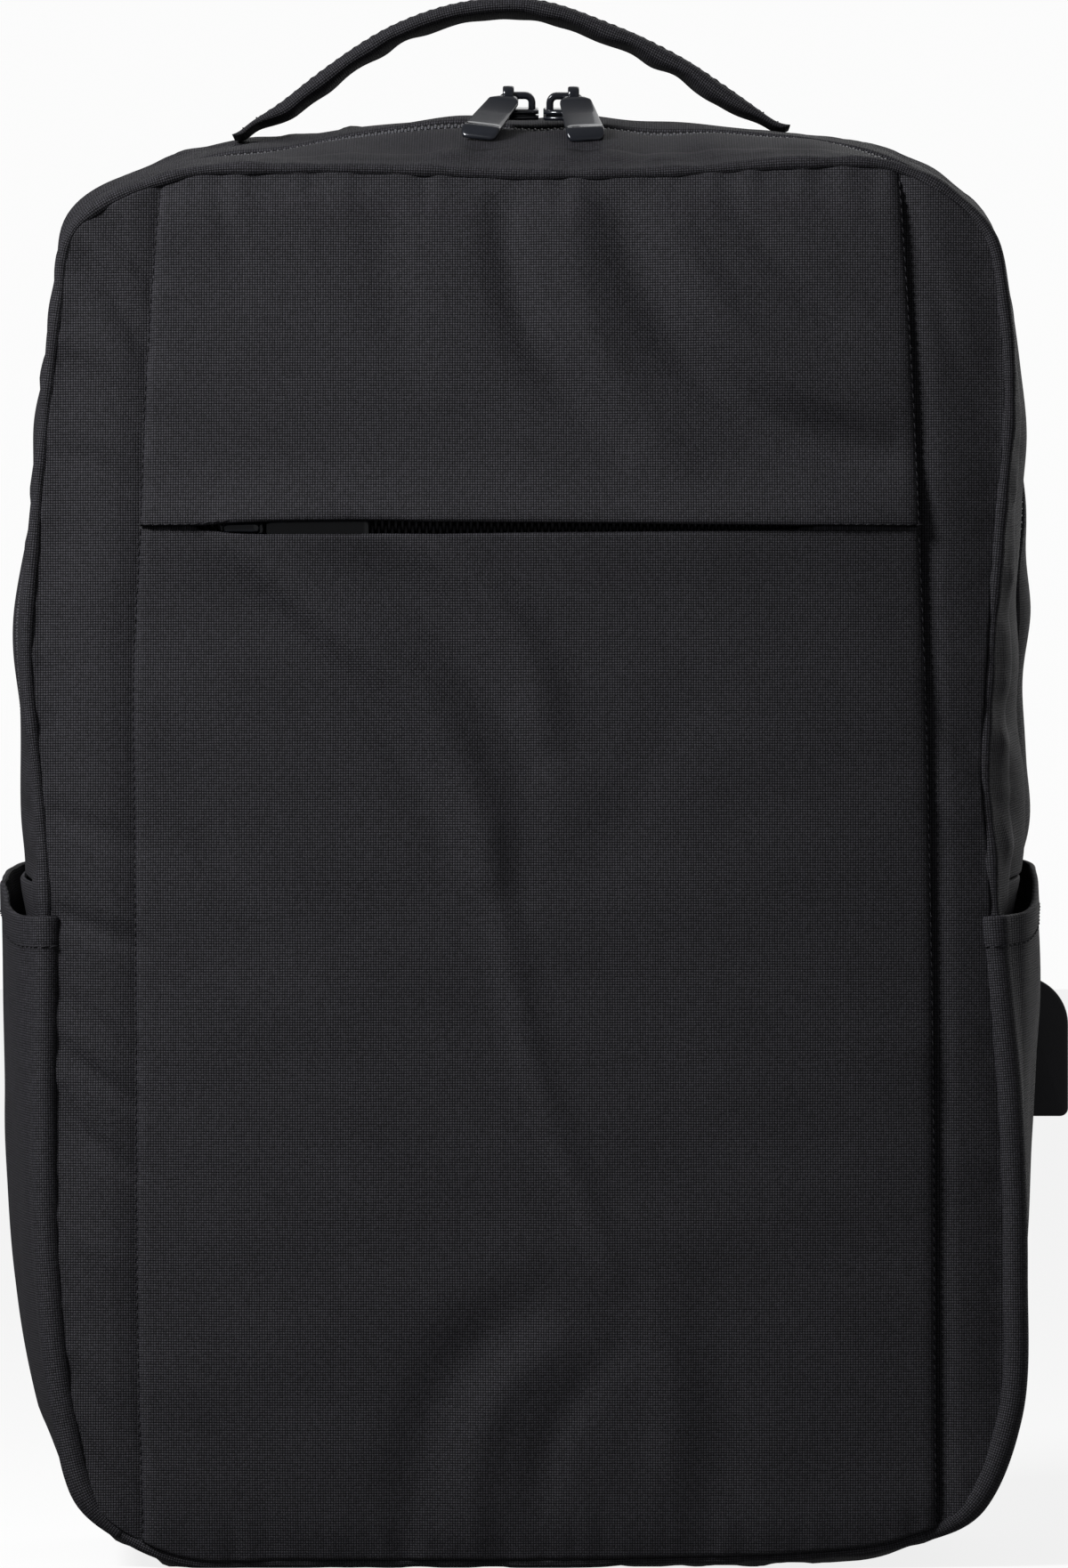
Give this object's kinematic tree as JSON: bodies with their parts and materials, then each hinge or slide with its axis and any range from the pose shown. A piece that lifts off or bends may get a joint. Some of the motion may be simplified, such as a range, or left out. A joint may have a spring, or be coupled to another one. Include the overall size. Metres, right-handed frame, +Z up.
{
  "type": "laptop backpack",
  "caption": "Soft upright laptop backpack with a raised front panel and slot pocket, arched main zip, open side pockets, carrying handle, padded back and shoulder straps.",
  "frame": {"origin": "on the floor under the middle of the bag, on the flat of its base", "axes": "+Z up along the height of the bag, +X to the right seen from the front, -Y out of the front"},
  "size_m": [0.3249, 0.1854, 0.4741],
  "materials": {
    "woven_cloth": "black woven polyester, fine basket weave",
    "edge_binding": "black cloth rolled over the seams",
    "zip_tape": "black zip tape with a nylon coil",
    "black_gloss_metal": "glossy blue-black lacquer",
    "matte_black_plastic": "satin black moulding",
    "air_mesh": "black spacer mesh over foam",
    "webbing": "black ribbed webbing"
  },
  "bodies": {
    "bag": {"front_upper_panel": "woven_cloth", "front_lower_panel": "woven_cloth", "front_strip_left": "woven_cloth", "front_strip_right": "woven_cloth", "front_zip": "zip_tape", "front_welt": "edge_binding", "front_gusset": "woven_cloth", "main_zip": "zip_tape", "rear_gusset": "woven_cloth", "lower_gusset": "woven_cloth", "side_pocket_left": "woven_cloth", "side_pocket_right": "woven_cloth", "handle": "woven_cloth", "usb_housing": "matte_black_plastic", "front_slider": "black_gloss_metal", "front_pull": "black_gloss_metal", "slider_left": "black_gloss_metal", "slider_right": "black_gloss_metal", "back_welt": "edge_binding", "back_panel": "air_mesh", "strap_yoke": "woven_cloth", "shoulder_strap_left": "air_mesh", "shoulder_strap_right": "air_mesh", "ladder_lock_left": "matte_black_plastic", "ladder_lock_right": "matte_black_plastic", "strap_webbing_left": "webbing", "strap_webbing_right": "webbing", "strap_anchor_left": "woven_cloth", "strap_anchor_right": "woven_cloth"},
    "left_pull": {"pull_left": "black_gloss_metal"},
    "right_pull": {"pull_right": "black_gloss_metal"}
  },
  "joints": [
    {"name": "left_pull_swing", "type": "hinge", "parent": "bag", "child": "left_pull", "pos_m": [-0.0006, -0.01926, 0.43996], "axis": [-1, 0, 0], "range_deg": [0, 200]},
    {"name": "right_pull_swing", "type": "hinge", "parent": "bag", "child": "right_pull", "pos_m": [0.0138, -0.01925, 0.43981], "axis": [-1, 0, 0], "range_deg": [0, 200]}
  ]
}
